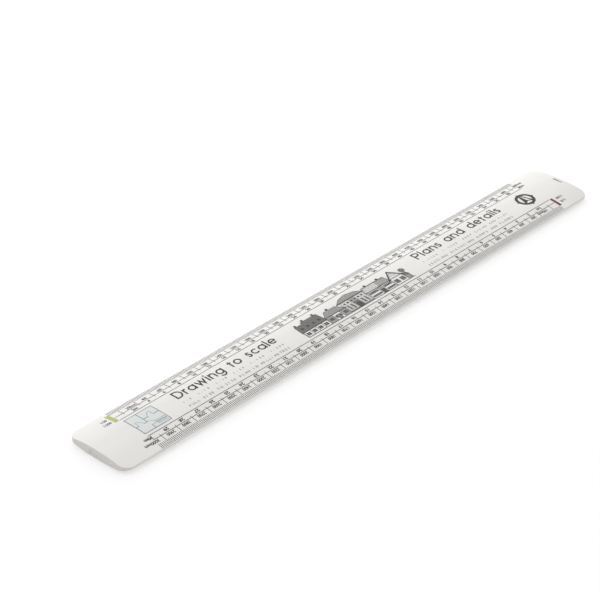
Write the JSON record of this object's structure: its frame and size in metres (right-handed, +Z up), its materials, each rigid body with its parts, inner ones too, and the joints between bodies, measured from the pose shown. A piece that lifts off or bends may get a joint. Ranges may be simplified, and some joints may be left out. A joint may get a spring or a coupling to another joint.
{
  "type": "architect's scale rule",
  "caption": "Oval-section white plastic scale rule with thin ruling edges, rounded corners and reduction scales printed along both edges of both faces.",
  "frame": {"origin": "centre of the footprint, on the surface the rule lies on", "axes": "+X along the length, towards the end with the gate slot; +Y across the width, towards the edge with the 1:20 scale; +Z up through the thickness"},
  "size_m": [0.346, 0.04, 0.0053],
  "materials": {
    "body_white": "moulded opaque white plastic, satin gloss",
    "ink_black": "matt printing ink",
    "ink_grey": "matt printing ink",
    "ink_tint": "matt printing ink",
    "ink_lime": "matt printing ink",
    "ink_red": "matt printing ink",
    "ink_blue": "matt printing ink",
    "ink_yellow": "matt printing ink"
  },
  "bodies": {
    "root": {"rule_body": "body_white", "ticks_1_20": "ink_black", "lines_1_20": "ink_black", "figures_1_20": "ink_black", "ratios_1_20": "ink_black", "bar_1_20_lime": "ink_lime", "ticks_1_10": "ink_black", "lines_1_10": "ink_black", "figures_1_10": "ink_black", "ratios_1_10": "ink_black", "bar_1_10_red": "ink_red", "plan_panel": "ink_tint", "title_left": "ink_black", "notes_left": "ink_grey", "house_row": "ink_black", "title_right": "ink_black", "notes_right": "ink_grey", "north_badge": "ink_black", "ticks_1_5": "ink_black", "lines_1_5": "ink_black", "figures_1_5": "ink_black", "ratios_1_5": "ink_black", "bar_1_5_blue": "ink_blue", "ticks_1_1250": "ink_black", "lines_1_1250": "ink_black", "figures_1_1250": "ink_black", "ratios_1_1250": "ink_black", "bar_1_1250_yellow": "ink_yellow"}
  },
  "joints": []
}
